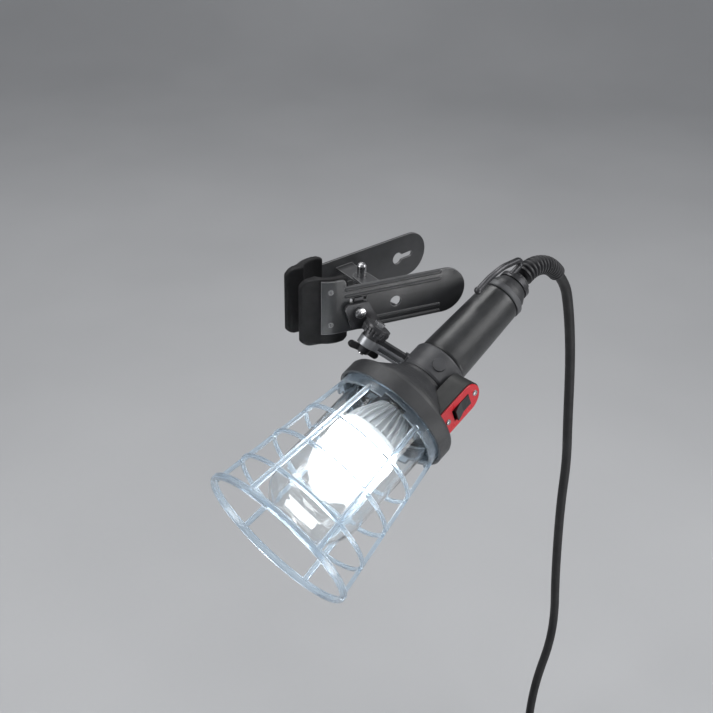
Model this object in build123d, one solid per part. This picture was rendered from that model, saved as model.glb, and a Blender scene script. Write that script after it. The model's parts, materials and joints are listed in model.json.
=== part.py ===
from build123d import *
import math
import os

# Hand-held caged work light on a spring clamp, holding a 35 mm stand pole.
# Row frame: origin on the pole axis at the jaws' middle height, +Z up along the pole,
# +X along the clamp's middle plane towards its squeeze handles. Millimetres.

# ---- clamp ----
POLE_R = 17.5              # radius of the pole that the jaws hold
PAD_THICK = 5.5            # rubber jaw pad
PAD_HALF_HEIGHT = 30.0
PAD_CORNER_R = 11.0
STEEL = 2.0                # stamped sheet
WEB_SPREAD = 8.0           # angle of each handle plate from the middle plane
WEB_MID_Z = 1.0            # middle height of the front handle plate and of the pivot
REAR_MID_Z = -2.0          # the rear plate sits a little lower
WEB_HALF_HEIGHT = 20.5
FRONT_TIP_X = 114.0        # reach of the front handle plate
REAR_TIP_X = 131.0         # the rear one is a little longer
STRAP_TOP = 28.5           # upper edge of the steel behind the jaw pads
PIVOT_X = 36.0
PIVOT_R = 3.0
EAR_R = 7.5
EAR_TOP = 13.0             # upper face of the front plate's upper ear
SHAFT_GAP = 0.06           # radial clearance of pins and bolts in their holes
BODY_GAP = 0.3             # clearance between faces of different bodies

# ---- swivel arm ----
SWIVEL_X = 18.8            # swivel bolt along the front plate
SWIVEL_Z = -1.5
KNUCKLE = (23.6, -19.6, 16.6)   # knuckle bolt: along the plate, height, stand-off from it
TOOTH_DISC_R = 12.0
KNUCKLE_BOLT_R = 2.5
ARM_SOCKET = 3.2           # depth that the arm's members enter the neck sleeve

# ---- lamp: measured along its axis from the open edge of the collar, towards the handle ----
LAMP_ORIGIN = (9.1, -87.5, -71.7)
LAMP_AZIMUTH = 12.8        # the handle end swings this far from +X towards +Y
LAMP_RISE = 23.7           # and rises this far
COLLAR_R = 53.0
COLLAR_TOP = 41.0
GUARD_TOP_R = 49.5
GUARD_RIM_R = 68.5
GUARD_END = -138.0         # open end of the guard
GUARD_RIBS = 6
GUARD_RING_S = (-42.0, -75.0, -107.5)
GLOBE_R = 41.0
BULB_R = 30.0
NECK_R = 19.5              # core tube that turns in the neck sleeve
SLEEVE_R = 24.3
GRIP_START = 67.0
GRIP_END = 147.0
GRIP_R = (22.0, 19.0)      # grip radius at its start and end
SWITCH_ANGLE = 91.0        # from the top of the lamp round towards -Y
SWITCH_FACE_R = 43.0       # outer face of the switch housing
SWITCH_MID = 39.5
BEZEL_LENGTH = 45.0
BEZEL_WIDTH = 26.0
SCREW_SPACING = 34.4
ROCKER_LENGTH = 20.0
ROCKER_WIDTH = 12.0
ROCKER_ON = 8.0            # tilt of the rocker in its switched-on rest position
GLAND_END = 175.0

# ---- cord ----
CORD_D = 9.8
CORD_LENGTH = 5000.0
FLOOR_Z = -690.0           # surface that the spare cord lies on
BOOT_LENGTH_POINTS = 3     # route points inside the strain relief
COIL_INNER_R = 40.3        # centre line of the innermost turn
COIL_TURNS_ACROSS = 4
COIL_LAYERS = 4
COIL_PITCH = 9.9
TIE_THICK = 1.0

os.makedirs("parts", exist_ok=True)


# ---------------------------------------------------------------- helpers
def save(name, shape):
    export_step(shape, f"parts/{name}.step")


def ring(outer, inner, height):
    """Flat ring standing on the plane z = 0."""
    rise = Pos(0, 0, height / 2)
    return rise * Cylinder(outer, height) - rise * Cylinder(inner, height + 2)


def disc(radius, z0, z1):
    return Pos(0, 0, (z0 + z1) / 2) * Cylinder(radius, z1 - z0)


def turned(*points):
    """Solid turned about Z from (radius, height) points of a closed outline."""
    outline = Polyline(*[(r, 0, z) for r, z in points], close=True)
    return revolve(make_face(outline), Axis.Z)


def hexagon(across, z0, z1):
    return extrude(Pos(0, 0, z0) * RegularPolygon(across / 2, 6, major_radius=False), z1 - z0)


def around(count, shape, start=0.0):
    return [Rot(0, 0, start + i * 360 / count) * shape for i in range(count)]


def unit(azimuth, rise=0.0):
    a = math.radians(azimuth)
    e = math.radians(rise)
    return Vector(math.cos(a) * math.cos(e), math.sin(a) * math.cos(e), math.sin(e))


def box_between(low, high):
    size = [h - l for l, h in zip(low, high)]
    middle = [(h + l) / 2 for l, h in zip(low, high)]
    return Pos(*middle) * Box(*size)


# ---------------------------------------------------------------- frames
# Web frame: x along the front handle plate, y up, z out of its outer face.
PAD_R = POLE_R + PAD_THICK
STRAP_R = PAD_R + STEEL
along = unit(-WEB_SPREAD)
outward = unit(-WEB_SPREAD - 90)
WEB = Plane(origin=outward * STRAP_R, x_dir=along, z_dir=outward)
PAN = Plane(origin=WEB.from_local_coords(Vector(SWIVEL_X, SWIVEL_Z, 0)), x_dir=along, z_dir=outward)

# Lamp frame: z along the lamp axis towards the handle, x to the lamp's top.
axis = unit(LAMP_AZIMUTH, LAMP_RISE)
lamp_top = (Vector(0, 0, 1) - axis * axis.Z).normalized()
LAMP = Plane(origin=LAMP_ORIGIN, x_dir=lamp_top, z_dir=axis)

# Tilt frame: z along the knuckle bolt, x along the arm to the lamp axis.
SLEEVE_MID = 53.0
knuckle_point = WEB.from_local_coords(Vector(*KNUCKLE))
sleeve_point = LAMP.from_local_coords(Vector(0, 0, SLEEVE_MID))
arm = sleeve_point - knuckle_point
ARM_REACH = arm.length
arm_direction = arm.normalized()
TILT = Plane(origin=knuckle_point, x_dir=arm_direction, z_dir=arm_direction.cross(outward))
if TILT.z_dir.Z < 0:
    TILT = Plane(origin=knuckle_point, x_dir=arm_direction, z_dir=-TILT.z_dir)

# Switch frame: z out of the switch face, x along the lamp axis towards the handle.
switch_place = Rot(0, 0, SWITCH_ANGLE) * Pos(SWITCH_FACE_R, 0, SWITCH_MID) * Rot(0, 90, 0)
SWITCH = LAMP.location * switch_place * Rot(0, 0, 180)


# ---------------------------------------------------------------- clamp
def web_outline(tip_x, middle):
    """Handle plate seen square on, with its half-round end."""
    length = (tip_x - WEB.origin.X) / along.X
    flat = length - WEB_HALF_HEIGHT
    body = Pos(flat / 2, middle) * Rectangle(flat, 2 * WEB_HALF_HEIGHT)
    return body + Pos(flat, middle) * Circle(WEB_HALF_HEIGHT)


def stiffening_bead(height, start, end):
    """Half-round bead pressed outwards along the plate."""
    radius, proud = 1.8, 1.3
    bar = Pos((start + end) / 2, height, proud - radius) * Rot(0, 90, 0) * Cylinder(radius, end - start)
    bar += Pos(start, height, proud - radius) * Sphere(radius)
    bar += Pos(end, height, proud - radius) * Sphere(radius)
    return bar & box_between((start - 3, height - 3, -0.5), (end + 3, height + 3, 3))


def ears(z_low, z_high):
    """Pair of pivot ears, bent inwards from the plate, in row coordinates."""
    foot_a = WEB.from_local_coords(Vector(31, 0, -1))
    foot_b = WEB.from_local_coords(Vector(49, 0, -1))
    corners = [(foot_a.X, foot_a.Y), (foot_b.X, foot_b.Y), (PIVOT_X + EAR_R, 0), (PIVOT_X - EAR_R, 0)]
    outline = make_face(Polyline(*corners, close=True)) + Pos(PIVOT_X, 0) * Circle(EAR_R)
    outline -= Pos(PIVOT_X, 0) * Circle(PIVOT_R + SHAFT_GAP)
    return [extrude(Pos(0, 0, z) * outline, z_high - z_low) for z in (z_low, 2 * WEB_MID_Z - z_high)]


def arc_band(inner, outer, start, end, z0, z1):
    """Curved band about the pole axis between two angles in degrees."""
    mid = (start + end) / 2
    inner_arc = ThreePointArc(unit(start) * inner, unit(mid) * inner, unit(end) * inner)
    outer_arc = ThreePointArc(unit(end) * outer, unit(mid) * outer, unit(start) * outer)
    sides = [Line(inner_arc @ 1, outer_arc @ 0), Line(outer_arc @ 1, inner_arc @ 0)]
    face = make_face([inner_arc, sides[0], outer_arc, sides[1]])
    return extrude(Pos(0, 0, z0) * face, z1 - z0)


RIVET_ANGLE = -110.0
RIVET_Z = (-11.0, 19.0)
BEAD_OFFSETS = (12.4, 18.6)     # heights of the beads from the plate's middle


def pad_rivets():
    """Two rivets, ground flush, that hold the rubber pad to the steel strap."""
    group = []
    for z in RIVET_Z:
        place = Pos(0, 0, z) * Rot(0, 0, RIVET_ANGLE) * Rot(0, 90, 0)
        group.append(place * disc(2.2, POLE_R + 1.5, STRAP_R - 0.1))
    return group


def half_clamp(tip_x, middle, opening, ear_top):
    """Stamped half clamp on the -Y side: plate, jaw strap, ears and beads."""
    tab_low, tab_high = middle, STRAP_TOP
    tab = Pos(2, (tab_low + tab_high) / 2) * RectangleRounded(12, tab_high - tab_low, 3.5)
    tab &= Pos(10, tab_low) * Rectangle(20, 100)
    plate = WEB * extrude(web_outline(tip_x, middle) + tab - opening, -STEEL)
    low = middle - WEB_HALF_HEIGHT
    strap = arc_band(PAD_R, STRAP_R, -90 - WEB_SPREAD - 30, -90 - WEB_SPREAD + 0.5, low, STRAP_TOP)
    beads = []
    for offset in BEAD_OFFSETS:
        beads.append(WEB * stiffening_bead(middle + offset, 8, tip_x - 20))
        beads.append(WEB * stiffening_bead(middle - offset, 36, tip_x - 20))
    half = plate + strap + ears(ear_top - STEEL, ear_top) + beads
    for rivet in pad_rivets():
        half -= rivet
    return half


def jaw_pad():
    """Rubber pad with a groove for the pole and a lip at the jaw's tip."""
    low, high = -PAD_HALF_HEIGHT, PAD_HALF_HEIGHT
    band = arc_band(POLE_R, PAD_R, -150, -66, low, high)
    inner = unit(-150) * POLE_R
    outer = unit(-128) * PAD_R
    back = unit(-128) * (POLE_R + 1)
    lip_face = make_face(Polyline((inner.X, inner.Y), (-30.5, -9.4), (-32.0, -11.8), (-30.5, -14.4),
                                  (outer.X, outer.Y), (back.X, back.Y), close=True))
    lip = extrude(Pos(0, 0, low) * lip_face, high - low)
    pad = band + lip
    rounded = Pos(-10, -14, 0) * Rot(90, 0, 0) * extrude(
        RectangleRounded(46, 2 * PAD_HALF_HEIGHT, PAD_CORNER_R), 15, both=True)
    pad = pad & rounded
    for rivet in pad_rivets():
        pad -= rivet
    return pad


def torsion_spring():
    """Coil round the pivot pin with one leg pressing on each handle plate."""
    wire_r, coil_r, pitch, leg = 1.1, 6.2, 2.5, 32.0
    first, last = 20.0, 340.0 + 4 * 360
    height = pitch * (last - first) / 360
    helix = Helix(pitch=pitch, height=height, radius=coil_r)
    low_leg = Line(helix @ 0 - (helix % 0) * leg, helix @ 0)
    high_leg = Line(helix @ 1, helix @ 1 + (helix % 1) * leg)
    route = Wire([low_leg.edge(), helix.edge(), high_leg.edge()])
    section = Plane(origin=route @ 0, z_dir=route % 0) * Circle(wire_r)
    return Pos(PIVOT_X, 0, WEB_MID_Z - height / 2) * Rot(0, 0, first) * sweep(section, path=route)


def pivot_pin():
    """Pin with a tall domed head that stands on the upper ears."""
    top = EAR_TOP
    bottom = 2 * WEB_MID_Z - EAR_TOP
    head = turned((0, top), (3.9, top), (3.9, top + 9.5), (3.0, top + 11.2), (1.4, top + 12.0), (0, top + 12.0))
    pin = disc(PIVOT_R, bottom - 3.5, top) + head
    pin -= ring(PIVOT_R + 1, PIVOT_R - 0.6, 0.9).locate(Location((0, 0, bottom - 1.4)))
    return Pos(PIVOT_X, 0, 0) * pin


def pivot_clip():
    """Spring clip in the pin's groove, under the lower ears."""
    bottom = 2 * WEB_MID_Z - EAR_TOP
    clip = ring(5.6, PIVOT_R - 0.55, 0.8) - box_between((0, -1.6, -1), (8, 1.6, 2))
    return Pos(PIVOT_X, 0, bottom - 1.35) * clip


HOLE_X = 53.4                   # round hole of the front plate, along it
HOLE_R = 4.8
KEYHOLE_X = 102.6               # keyhole of the rear plate, along it
KEYHOLE_Z = -2.2
KEYHOLE_R = 5.4
KEY_SLOT = 5.0
ANCHOR_SLOTS_X = (13.2, 24.8)   # slots beside the spring's anchor staple
ANCHOR_Z = 8.6


def spring_anchor():
    """Small steel staple on the front plate, between its two slots."""
    middle = sum(ANCHOR_SLOTS_X) / 2
    half = (ANCHOR_SLOTS_X[1] - ANCHOR_SLOTS_X[0]) / 2 - 1.6
    bar = Pos(middle, ANCHOR_Z) * RectangleRounded(2 * half, 4.4, 1.4)
    return WEB * extrude(bar, 1.2)


def make_clamp():
    front_hole = Pos(HOLE_X, 0) * Circle(HOLE_R)
    swivel_hole = Pos(SWIVEL_X, SWIVEL_Z) * Circle(3.0 + SHAFT_GAP)
    for x in ANCHOR_SLOTS_X:
        front_hole += Pos(x, ANCHOR_Z) * RectangleRounded(3.2, 4.0, 0.8)
    front = half_clamp(FRONT_TIP_X, WEB_MID_Z, front_hole + swivel_hole, EAR_TOP)
    save("front_clamp_plate", front)
    save("spring_anchor", spring_anchor())

    keyhole = Pos(KEYHOLE_X, KEYHOLE_Z) * Circle(KEYHOLE_R)
    keyhole += Pos(KEYHOLE_X + 7.5, KEYHOLE_Z + 0.3) * Rot(0, 0, 2) * SlotCenterToCenter(15, KEY_SLOT)
    rear = half_clamp(REAR_TIP_X, REAR_MID_Z, keyhole, EAR_TOP - STEEL - BODY_GAP)
    save("rear_clamp_plate", mirror(rear, Plane.XZ))

    pad = jaw_pad()
    save("front_jaw_pad", pad)
    save("rear_jaw_pad", mirror(pad, Plane.XZ))
    rivets = Compound(pad_rivets())
    save("front_pad_rivets", rivets)
    save("rear_pad_rivets", mirror(rivets, Plane.XZ))
    save("clamp_pivot_pin", pivot_pin())
    save("clamp_pivot_clip", pivot_clip())
    save("clamp_spring", torsion_spring())


# ---------------------------------------------------------------- swivel arm
WASHER_T = 1.5
FLANGE_Z = WASHER_T + BODY_GAP       # inner face of the bracket's flange
FLANGE_T = 2.5
EAR_K = (8.8, 11.4)                  # bracket ear along the knuckle bolt
TOOTHED_K = (6.2, 8.8)               # bracket's toothed disc, under the ear
SPACER_K = (3.2, 5.9)                # the arm's toothed disc, facing it
RAIL_K = (-0.6, 3.2)                 # the arm's dark upper bar
STEM_K = (-8.1, -0.6)                # the arm's light channel bar
WING_K = (-14.4, -8.4)
ARM_HALF_WIDTH = 4.5
SCREW_TOP = SLEEVE_R + 0.9           # outer end of the sleeve's grub screw boss
SCREW_PLACE = Rot(0, 0, 36) * Pos(0, 0, 54) * Rot(0, 90, 0)


def toothed_disc(radius, z0, z1, teeth):
    body = disc(radius, z0, z1)
    for notch in around(teeth, Pos(radius, 0, (z0 + z1) / 2) * Cylinder(radius * 1.6 / teeth, z1 - z0 + 2)):
        body -= notch
    return body


def swivel_bracket():
    """Bent bracket: flange on the swivel bolt and one ear on the knuckle bolt."""
    to_tilt = PAN.location.inverse() * TILT.location
    ear_shape = Circle(TOOTH_DISC_R - 0.5)
    ear = to_tilt * extrude(Pos(0, 0, EAR_K[0]) * ear_shape, EAR_K[1] - EAR_K[0])
    knuckle = to_tilt.position
    bolt_line = to_tilt * Location((0, 0, 1))
    along_bolt = (bolt_line.position - knuckle).normalized()
    side = Vector(0, 0, 1).cross(along_bolt).normalized()
    ear_mid = (EAR_K[0] + EAR_K[1]) / 2
    root = Vector(knuckle.X, knuckle.Y, 0) + along_bolt * ear_mid
    leg_frame = Plane(origin=(root.X, root.Y, FLANGE_Z), x_dir=side, z_dir=(0, 0, 1))
    leg_height = knuckle.Z - FLANGE_Z
    leg = leg_frame * box_between((-12, -FLANGE_T / 2, 0), (7, FLANGE_T / 2, leg_height))
    foot = leg_frame * (Pos(-2.5, 0) * Rectangle(19, FLANGE_T))
    flange_edges = (Plane.XY * foot.moved(Location((0, 0, -FLANGE_Z)))).edges()
    for x, y, radius in ((-9.0, 4.5, 4.0), (5.0, 4.5, 4.0), (-4.0, -11.0, 4.0)):
        flange_edges += (Pos(x, y) * Circle(radius)).edges()
    flange = extrude(Pos(0, 0, FLANGE_Z) * make_hull(flange_edges), FLANGE_T)
    bracket = flange + leg + ear
    bracket -= disc(3.0 + SHAFT_GAP, 0, 10)
    bracket -= to_tilt * disc(KNUCKLE_BOLT_R, 0, 20)
    return PAN * bracket


def arm_member(k_range, hub_r, length):
    """Bar with a round hub on the knuckle bolt, reaching into the neck sleeve."""
    z0, z1 = k_range
    bar = box_between((0, -ARM_HALF_WIDTH, z0), (length, ARM_HALF_WIDTH, z1)) + disc(hub_r, z0, z1)
    return bar - disc(KNUCKLE_BOLT_R + SHAFT_GAP, z0 - 1, z1 + 1)


def wing_nut():
    z0, z1 = WING_K
    body = turned((0, z0), (5.0, z0), (6.4, z1), (0, z1))
    outline = make_hull((Pos(4, 0) * Circle(2.6)).edges() + (Pos(12.2, -0.4) * Circle(2.9)).edges())
    blade = Pos(0, 0, z1 - 3.2) * Rot(90, 0, 0) * extrude(outline, 1.4, both=True)
    body += [blade, Rot(0, 0, 180) * blade]
    return body - disc(KNUCKLE_BOLT_R + SHAFT_GAP, z0 - 8, z1 + 1)


def neck_sleeve(members):
    """Sleeve round the lamp's neck, with a boss that takes the arm's two bars."""
    low, high = COLLAR_TOP + BODY_GAP, GRIP_START - BODY_GAP
    barrel = turned((NECK_R, low), (SLEEVE_R - 2.6, low), (SLEEVE_R - 0.8, low + 0.8), (SLEEVE_R, low + 2.6),
                    (SLEEVE_R, high - 2.6), (SLEEVE_R - 0.8, high - 0.8), (SLEEVE_R - 2.6, high), (NECK_R, high))
    screw_boss = SCREW_PLACE * turned((0, NECK_R + 2), (6.4, NECK_R + 2), (5.6, SCREW_TOP), (0, SCREW_TOP))
    barrel = LAMP * (barrel + screw_boss)
    start = ARM_REACH - SLEEVE_R - 2
    block = box_between((start, -6.2, STEM_K[0] - 1.4), (ARM_REACH - NECK_R, 6.2, RAIL_K[1] + 1.4))
    block = fillet(block.edges().filter_by(Axis.X), 2)
    limit = LAMP * disc(SLEEVE_R + 30, low, high)
    sleeve = barrel + ((TILT * block) & limit)
    sleeve -= LAMP * disc(NECK_R + SHAFT_GAP, low - 5, high + 5)
    for member in members:
        sleeve -= member
    return sleeve - set_screw()


def set_screw():
    """Grub screw in the sleeve's boss, flush with its outside."""
    screw = disc(3.0, NECK_R + 1, SCREW_TOP - 0.3)
    socket = hexagon(3.0, SCREW_TOP - 2.2, SCREW_TOP)
    return LAMP * (SCREW_PLACE * (screw - socket))


def make_arm():
    washer = PAN * (disc(7.6, 0, WASHER_T) - disc(3.0 + SHAFT_GAP, -1, 3))
    save("swivel_washer", washer)
    head_z = FLANGE_Z + FLANGE_T + 0.1
    bolt = disc(3.0, -9.0, head_z) + turned((0, head_z), (5.0, head_z), (4.6, head_z + 2.2), (0, head_z + 3.0))
    bolt -= box_between((-6, -0.7, head_z + 1.6), (6, 0.7, head_z + 4))
    save("swivel_bolt", PAN * bolt)
    save("swivel_nut", PAN * (hexagon(10, -7.0, -STEEL) - disc(3.0, -9, 0)))

    save("swivel_bracket", swivel_bracket())
    toothed = toothed_disc(TOOTH_DISC_R, *TOOTHED_K, 22) - disc(KNUCKLE_BOLT_R, 0, 20)
    save("bracket_toothed_disc", TILT * toothed)
    bolt = disc(KNUCKLE_BOLT_R, WING_K[0] - 1.8, EAR_K[1]) + hexagon(8, EAR_K[1], EAR_K[1] + 3.4)
    save("knuckle_bolt", TILT * bolt)
    save("wing_nut", TILT * (Rot(0, 0, 20) * wing_nut()))

    bar_end = ARM_REACH - SLEEVE_R + ARM_SOCKET
    stem = arm_member(STEM_K, 8.5, bar_end)
    groove_mid = (STEM_K[0] + STEM_K[1]) / 2
    stem -= box_between((9.5, -ARM_HALF_WIDTH - 1, groove_mid - 1.6), (bar_end - ARM_SOCKET - 3, 1.5, groove_mid + 1.6))
    neck = LAMP * disc(NECK_R + 0.6, COLLAR_TOP - 5, GRIP_START + 5)
    stem = TILT * stem - LAMP * (Pos(0, 0, 0.6) * turned(*collar_outline(), (0, COLLAR_TOP), (0, 0))) - neck
    save("arm_channel", stem)
    rail = TILT * arm_member(RAIL_K, 8.0, bar_end) - neck
    save("arm_rail", rail)
    spacer = toothed_disc(11.4, *SPACER_K, 22) - disc(KNUCKLE_BOLT_R + SHAFT_GAP, 0, 8)
    save("arm_spacer_disc", TILT * spacer)
    save("neck_sleeve", neck_sleeve([stem, rail]))
    save("sleeve_grub_screw", set_screw())


# ---------------------------------------------------------------- lamp head
def collar_outline():
    """Outside of the collar, from its open edge up to the neck."""
    return [(COLLAR_R, 0.0), (COLLAR_R, 12.6), (COLLAR_R - 1.0, 14.8), (COLLAR_R - 3.2, 15.6), (47.4, 15.6),
            (46.8, 13.4), (45.0, 13.4), (44.2, 18.8), (42.0, 22.0), (24.5, 38.5), (24.5, COLLAR_TOP)]


def collar():
    """Dark cap that carries the guard, globe, lampholder and switch."""
    inside = [(NECK_R, COLLAR_TOP), (NECK_R, 37.5), (22.0, 35.0), (38.5, 19.0), (41.0, 10.6), (COLLAR_R - 2.5, 9.4),
              (COLLAR_R - 2.5, 0.0)]
    return turned(*collar_outline(), *inside)


def guard_radius(s):
    return GUARD_TOP_R + (GUARD_RIM_R - GUARD_TOP_R) * s / GUARD_END


def hoop(radius, s, width, thickness):
    """Ring with its outer face at the given radius and its corners rounded off."""
    bevel = 0.3 * min(width, thickness)
    r0, r1 = radius - thickness, radius
    s0, s1 = s - width / 2, s + width / 2
    return turned((r0 + bevel, s0), (r1 - bevel, s0), (r1, s0 + bevel), (r1, s1 - bevel),
                  (r1 - bevel, s1), (r0 + bevel, s1), (r0, s1 - bevel), (r0, s0 + bevel))


def guard():
    """Clear cage: top band, ribs, hoops and a rim."""
    rib_w, rib_t = 4.4, 3.4
    top = turned((GUARD_TOP_R - 2.6, -8), (GUARD_TOP_R + 0.2, -8), (GUARD_TOP_R + 0.2, 9), (GUARD_TOP_R - 2.6, 9))
    for notch in around(3, Pos(GUARD_TOP_R, 0, -8) * Box(12, 22, 9), 30):
        top -= notch
    start, end = -6.0, GUARD_END + 4
    lean = math.degrees(math.atan2(guard_radius(end) - guard_radius(start), start - end))
    length = math.hypot(guard_radius(end) - guard_radius(start), start - end)
    mid = Pos(guard_radius((start + end) / 2) - rib_t / 2, 0, (start + end) / 2)
    section = RectangleRounded(rib_t, rib_w, 1.1)
    rib = mid * Rot(0, -lean, 0) * extrude(Pos(0, 0, -length / 2) * section, length)
    cage = top + around(GUARD_RIBS, rib)
    for s in GUARD_RING_S:
        cage += hoop(guard_radius(s) - 0.1, s, 3.6, 3.2)
    return cage + hoop(guard_radius(GUARD_END) + 1.2, GUARD_END + 3, 6.0, 4.6)


def globe():
    """Clear inner globe: straight wall, domed end and a seating flange."""
    wall, dome_start, dome_height = 2.0, -92.0, 30.0
    top = 6.0
    outer = [Line((0, 0, dome_start - dome_height), (12, 0, dome_start - dome_height)),
             ThreePointArc((12, 0, dome_start - dome_height), (GLOBE_R - 6.5, 0, dome_start - 18.5),
                           (GLOBE_R, 0, dome_start)),
             Line((GLOBE_R, 0, dome_start), (GLOBE_R, 0, top - 3)),
             Line((GLOBE_R, 0, top - 3), (GLOBE_R + 3.4, 0, top - 3)),
             Line((GLOBE_R + 3.4, 0, top - 3), (GLOBE_R + 3.4, 0, top)),
             Line((GLOBE_R + 3.4, 0, top), (GLOBE_R - wall, 0, top)),
             Line((GLOBE_R - wall, 0, top), (GLOBE_R - wall, 0, dome_start)),
             ThreePointArc((GLOBE_R - wall, 0, dome_start), (GLOBE_R - 7.9, 0, dome_start - 17.1),
                           (12, 0, dome_start - dome_height + wall)),
             Line((12, 0, dome_start - dome_height + wall), (0, 0, dome_start - dome_height + wall)),
             Line((0, 0, dome_start - dome_height + wall), (0, 0, dome_start - dome_height))]
    return revolve(make_face(outer), Axis.Z)


def bulb_diffuser():
    """White dome of the LED bulb."""
    neck_s, tip_s = -28.0, -67.0
    widest = -38.0
    shape = [Line((0, 0, neck_s), (28.6, 0, neck_s)),
             ThreePointArc((28.6, 0, neck_s), (29.65, 0, -33.0), (BULB_R, 0, widest)),
             ThreePointArc((BULB_R, 0, widest), (21.4, 0, -57.6), (1.5, 0, tip_s)),
             Line((1.5, 0, tip_s), (0, 0, tip_s)),
             Line((0, 0, tip_s), (0, 0, neck_s))]
    return revolve(make_face(shape), Axis.Z)


def bulb_heat_sink():
    """Light grey ribbed body between the diffuser and the screw base."""
    core = turned((0, -27.9), (28.4, -27.9), (28.4, -23.5), (24.5, -21.0), (13.5, 6.0), (0, 6.0))
    fin_outline = make_face(Polyline((10, 0, -24.0), (28.2, 0, -24.0), (25.6, 0, -14.0), (16.0, 0, 6.0), (10, 0, 6.0),
                                     close=True))
    fin = extrude(fin_outline, 0.7, both=True)
    return core + around(26, fin)


def bulb_base():
    """Threaded metal cap of the bulb with its centre contact."""
    body = turned((0, 6.1), (12.6, 6.1), (12.6, 9.0), (12.0, 27.0), (5.0, 30.0), (0, 30.0))
    for i in range(4):
        s = 11.0 + 4.0 * i
        body += turned((11.0, s), (12.3, s), (13.1, s + 1.2), (12.3, s + 2.4), (11.0, s + 2.4))
    return body


def lampholder():
    """Socket round the bulb's base, fixed in the collar's cone."""
    return turned((13.3, 9.0), (17.5, 9.0), (17.5, 33.0), (0, 33.0), (0, 30.2), (13.3, 30.2))


def globe_gasket():
    return turned((GLOBE_R - 2, 6.1), (GLOBE_R + 3.2, 6.1), (GLOBE_R + 3.2, 8.6), (GLOBE_R - 2, 8.6))


def make_head():
    seat = SWITCH * extrude(bezel_outline(1.05), 12)
    cap = LAMP * collar() - [switch_pocket(), seat] - screw_holes()
    save("collar", cap)
    save("guard", LAMP * guard())
    save("globe", LAMP * globe())
    save("globe_gasket", LAMP * globe_gasket())
    save("bulb_diffuser", LAMP * bulb_diffuser())
    save("bulb_heat_sink", LAMP * bulb_heat_sink())
    save("bulb_base", LAMP * bulb_base())
    save("lampholder", LAMP * lampholder())
    save("switch_housing", switch_housing())
    save("switch_bezel", SWITCH * bezel())
    save("bezel_screws", SWITCH * Compound(bezel_screws()))
    save("switch_body", SWITCH * switch_body())
    save("switch_rocker", SWITCH * (Pos(0, 0, ROCKER_PIVOT_Z) * Rot(0, ROCKER_ON, 0) * rocker()))


# ---------------------------------------------------------------- switch
BEZEL_T = 1.4
ROCKER_PIVOT_Z = -3.2
SWITCH_BODY_DEPTH = 12.5
HOUSING_DEPTH = SWITCH_FACE_R - SLEEVE_R - 0.7


def bezel_outline(grow=0.0):
    """Plate outline: square at the collar end (-x), half round at the handle end."""
    half_w = BEZEL_WIDTH / 2 + grow
    low = -BEZEL_LENGTH / 2 - grow
    high = BEZEL_LENGTH / 2 + grow
    body = Pos((low + high - half_w) / 2, 0) * Rectangle(high - half_w - low, 2 * half_w)
    return body + Pos(high - half_w, 0) * Circle(half_w)


def rocker_window(grow=0.0):
    return Rectangle(ROCKER_LENGTH + 0.8 + grow, ROCKER_WIDTH + 0.8 + grow)


def bezel():
    plate = bezel_outline() - rocker_window()
    for x in (-SCREW_SPACING / 2, SCREW_SPACING / 2):
        plate -= Pos(x, 0) * Circle(1.5)
    return extrude(plate, BEZEL_T)


def bezel_screws():
    group = []
    for x in (-SCREW_SPACING / 2, SCREW_SPACING / 2):
        screw = disc(1.5, -5.0, BEZEL_T) + turned((0, BEZEL_T), (2.7, BEZEL_T), (2.2, BEZEL_T + 1.0), (0, BEZEL_T + 1.5))
        cross = box_between((-1.6, -0.35, BEZEL_T + 0.7), (1.6, 0.35, BEZEL_T + 2))
        screw -= [cross, Rot(0, 0, 90) * cross]
        group.append(Pos(x, 0, 0) * screw)
    return group


def screw_holes():
    return [SWITCH * (Pos(x, 0, 0) * disc(1.5, -5.0, 1)) for x in (-SCREW_SPACING / 2, SCREW_SPACING / 2)]


def switch_pocket():
    depth = -SWITCH_BODY_DEPTH - 0.5
    return SWITCH * extrude(Rectangle(ROCKER_LENGTH + 3, ROCKER_WIDTH + 3), depth)


def switch_housing():
    """Black housing under the bezel; its lower end dies into the collar's cone."""
    shell = SWITCH * extrude(bezel_outline(1.0), -HOUSING_DEPTH)
    shell -= LAMP * disc(SLEEVE_R + 0.5, COLLAR_TOP - 0.5, GRIP_START + 5)
    shell -= LAMP * turned(*collar_outline(), (0, COLLAR_TOP), (0, 0))
    shell -= [switch_pocket()] + screw_holes()
    return shell.solids().sort_by(SortBy.VOLUME)[-1]


def switch_body():
    """Moulded switch case below the rocker, open at its top."""
    outer = extrude(Rectangle(ROCKER_LENGTH + 2.8, ROCKER_WIDTH + 2.8), -SWITCH_BODY_DEPTH)
    room = extrude(rocker_window(0.4), -8.0)
    return outer - room


def rocker():
    """Rocker button about its own pivot: shallow V top and a round belly."""
    half = ROCKER_LENGTH / 2
    lift = -ROCKER_PIVOT_Z
    top_end, top_mid = lift + 3.0, lift + 1.7
    side = Polyline((-half + 0.4, 0, top_end), (0, 0, top_mid), (half - 0.4, 0, top_end), (half - 1.2, 0, -0.5),
                    (4.0, 0, -3.4), (-4.0, 0, -3.4), (-half + 1.2, 0, -0.5), close=True)
    return extrude(make_face(side), ROCKER_WIDTH / 2, both=True)


# ---------------------------------------------------------------- handle
def core_tube():
    """Stiff tube from the collar through the neck sleeve and the grip."""
    return turned((12.5, 37.6), (NECK_R, 37.6), (NECK_R, GRIP_START), (16.0, GRIP_START), (16.0, 153.0), (12.5, 153.0))


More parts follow.
